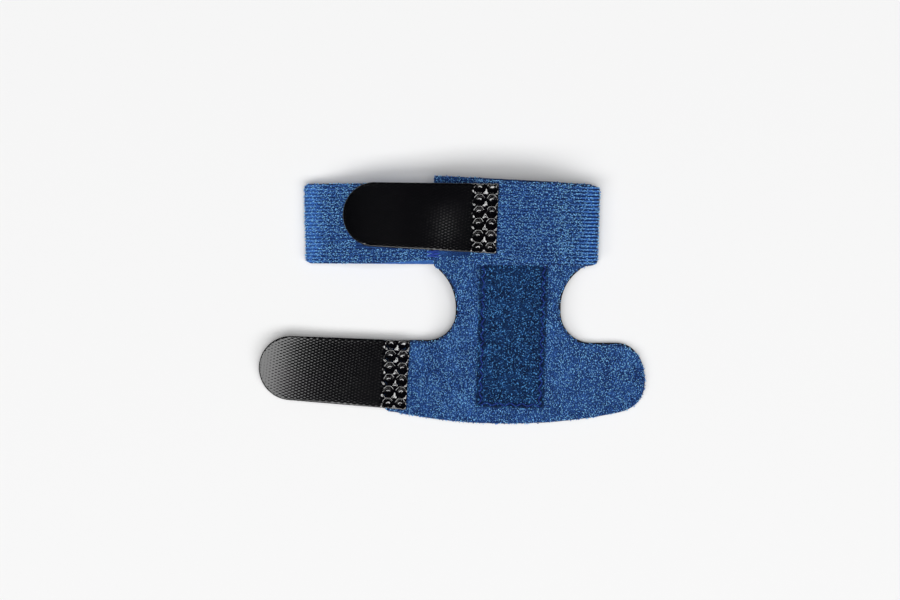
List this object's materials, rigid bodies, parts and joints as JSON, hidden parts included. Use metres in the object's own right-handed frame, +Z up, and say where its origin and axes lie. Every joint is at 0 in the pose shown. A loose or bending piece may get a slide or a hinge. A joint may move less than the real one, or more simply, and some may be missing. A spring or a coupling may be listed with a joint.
{
  "type": "finger splint",
  "caption": "Soft plush finger splint with a waisted panel, a stay pocket, a long wrap strap folded round it and welded hook tabs.",
  "frame": {"origin": "middle of the splint's box, on the table it lies on", "axes": "+X across the panel towards the right wing, +Y up the finger towards the strap, +Z up off the table"},
  "size_m": [0.0924, 0.0592, 0.0116],
  "materials": {
    "plush_laminate": "looped plush pile",
    "pocket_plush": "brushed looped plush",
    "knitted_plush": "ribbed knitted plush",
    "hook_tape": "woven nylon with a sheen"
  },
  "bodies": {
    "root": {"body_panel": "plush_laminate", "stay_pocket": "pocket_plush", "long_strap": "knitted_plush", "strap_hook_tab": "hook_tape", "wing_hook_tab": "hook_tape"}
  },
  "joints": []
}
